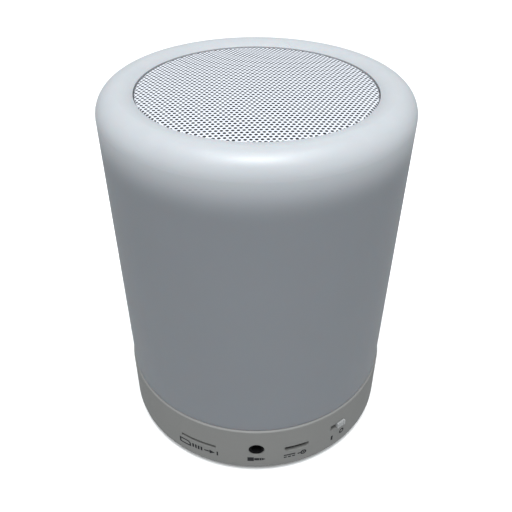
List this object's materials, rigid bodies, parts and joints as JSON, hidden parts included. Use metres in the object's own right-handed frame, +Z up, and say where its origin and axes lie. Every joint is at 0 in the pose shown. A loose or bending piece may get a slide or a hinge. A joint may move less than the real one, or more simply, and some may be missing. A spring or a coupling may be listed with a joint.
{
  "type": "bluetooth audio receiver",
  "caption": "Cylindrical wireless audio receiver and speaker with a frosted touch-lamp shade, a round perforated top grille and a low base ring with ports, a slide switch and push keys.",
  "frame": {"origin": "centre of the foot's underside, on the surface the receiver stands on", "axes": "+Z up along the cylinder's axis, from the foot to the grille; the ports face -Y"},
  "size_m": [0.0908, 0.0908, 0.118],
  "materials": {
    "shade": "satin, frosted translucent",
    "base": "satin",
    "cover": "matt",
    "foot": "matt",
    "grille": "silver paint, perforated",
    "inner_plastic": "matt white",
    "steel": "zinc plated",
    "plate_steel": "plated",
    "magnet": "sintered, dark",
    "basket": "black paint",
    "cone": "pressed pulp",
    "cap": "pressed",
    "surround": "matt",
    "spider": "impregnated cloth",
    "former": "thin foil",
    "copper": "enamelled copper wire",
    "board_green": "solder mask",
    "board_white": "white solder mask",
    "chip": "moulded",
    "can": "drawn can",
    "lamp_warm": "phosphor",
    "lamp_colour": "clear resin",
    "cell": "heat-shrink sleeve",
    "foam": "foam",
    "gasket": "moulded, matt",
    "black_plastic": "satin",
    "white_plastic": "satin",
    "socket_metal": "tin plated",
    "knob": "satin",
    "key": "satin",
    "lead_red": "insulation",
    "lead_black": "insulation",
    "lead_white": "insulation",
    "solder": "bright"
  },
  "bodies": {
    "receiver": {"base_ring": "base", "bottom_cover": "cover", "foot_ring": "foot", "cover_screws": "steel", "shade": "shade", "grille": "grille", "speaker_column": "inner_plastic", "rim_gasket": "gasket", "column_screws": "steel", "lamp_board": "board_white", "warm_lamps": "lamp_warm", "colour_lamps": "lamp_colour", "battery_cell": "cell", "cell_safety_board": "board_green", "cell_pad": "foam", "cell_collars": "foam", "front_plate": "plate_steel", "magnet": "magnet", "yoke": "plate_steel", "speaker_basket": "basket", "solder_tags": "black_plastic", "surround": "surround", "spider": "spider", "speaker_gasket": "gasket", "speaker_screws": "steel", "main_board": "board_green", "board_screws": "steel", "wireless_module": "can", "amplifier_chip": "chip", "touch_chip": "chip", "capacitors": "can", "inductor": "chip", "chip_parts": "white_plastic", "wire_sockets": "white_plastic", "input_jack": "black_plastic", "charging_shell": "socket_metal", "charging_tongue": "black_plastic", "card_shell": "socket_metal", "card_base": "black_plastic", "switch_body": "socket_metal", "key_switches": "black_plastic", "microphone": "can", "speaker_leads": "lead_red", "cell_leads": "lead_black", "touch_lead": "lead_white", "touch_solder": "solder", "lamp_leads": "lead_white"},
    "switch": {"switch_knob": "knob"},
    "cone": {"speaker_cone": "cone", "dust_cap": "cap", "coil_former": "former", "voice_coil": "copper"},
    "mode_button": {"mode_key": "key", "mode_plunger": "white_plastic"},
    "previous_button": {"previous_key": "key", "previous_plunger": "white_plastic"},
    "play_button": {"play_key": "key", "play_plunger": "white_plastic"},
    "next_button": {"next_key": "key", "next_plunger": "white_plastic"}
  },
  "joints": [
    {"name": "power_switch_slide", "type": "slide", "parent": "receiver", "child": "switch", "axis": [-0.788, -0.6157, 0], "range_m": [0, 0.0024]},
    {"name": "mode_press", "type": "slide", "parent": "receiver", "child": "mode_button", "axis": [-0.3706, -0.9288, 0], "range_m": [0, 0.0005], "stiffness_N_per_m": 3000},
    {"name": "previous_press", "type": "slide", "parent": "receiver", "child": "previous_button", "axis": [-0.1262, -0.992, 0], "range_m": [0, 0.0005], "stiffness_N_per_m": 3000},
    {"name": "play_press", "type": "slide", "parent": "receiver", "child": "play_button", "axis": [0.1262, -0.992, 0], "range_m": [0, 0.0005], "stiffness_N_per_m": 3000},
    {"name": "next_press", "type": "slide", "parent": "receiver", "child": "next_button", "axis": [0.3706, -0.9288, 0], "range_m": [0, 0.0005], "stiffness_N_per_m": 3000},
    {"name": "cone_travel", "type": "slide", "parent": "receiver", "child": "cone", "axis": [0, 0, 1], "range_m": [-0.0012, 0.0012], "stiffness_N_per_m": 1800, "deforming": ["surround", "spider"]}
  ]
}
